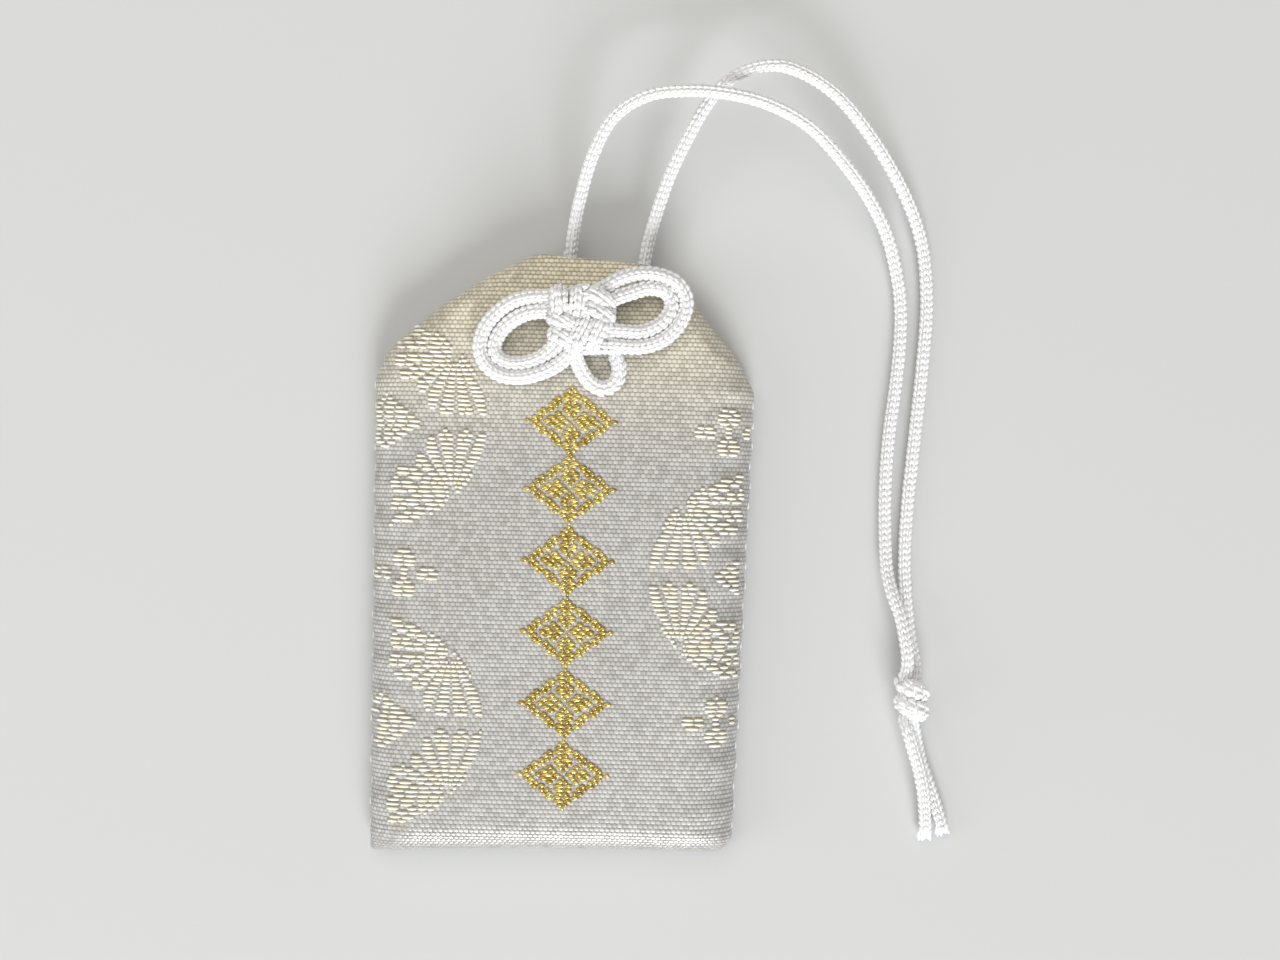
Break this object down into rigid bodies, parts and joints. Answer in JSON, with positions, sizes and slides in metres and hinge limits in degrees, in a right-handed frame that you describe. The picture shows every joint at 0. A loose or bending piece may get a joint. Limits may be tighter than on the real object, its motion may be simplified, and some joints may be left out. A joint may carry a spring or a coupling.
{
  "type": "omamori charm",
  "caption": "Flat brocade charm pouch with a folded gable top, a knotted white cord bow on its front, and a long cord loop ending in a stop knot.",
  "frame": {"origin": "centre of the pouch's outline, on the flat back that it lies on", "axes": "+Z out of the pouch's front, +Y towards its mouth, +X to the right of someone facing the front"},
  "size_m": [0.0699, 0.0942, 0.0118],
  "materials": {
    "brocade": "woven silk brocade, ivory floats and gold metallic thread on silver-grey",
    "cord": "finely knitted, soft gloss",
    "card": "plain",
    "paper": "plain",
    "wood": "planed, bare"
  },
  "bodies": {
    "pouch": {"brocade_pouch": "brocade", "stiffener_card": "card", "bow_knot": "cord"},
    "talisman": {"talisman_wrapper": "paper", "talisman_slip": "wood"},
    "loop": {"hanging_strand_left": "cord", "hanging_strand_right": "cord", "stop_knot": "cord", "tail_left": "cord"}
  },
  "joints": [
    {"name": "talisman_slide", "type": "slide", "parent": "pouch", "child": "talisman", "axis": [0, 1, 0], "range_m": [0, 0.005]},
    {"name": "loop_swing", "type": "hinge", "parent": "pouch", "child": "loop", "pos_m": [0.0003, 0.0358, 0.0024], "axis": [0, 0, 1], "range_deg": [0, 45]}
  ]
}
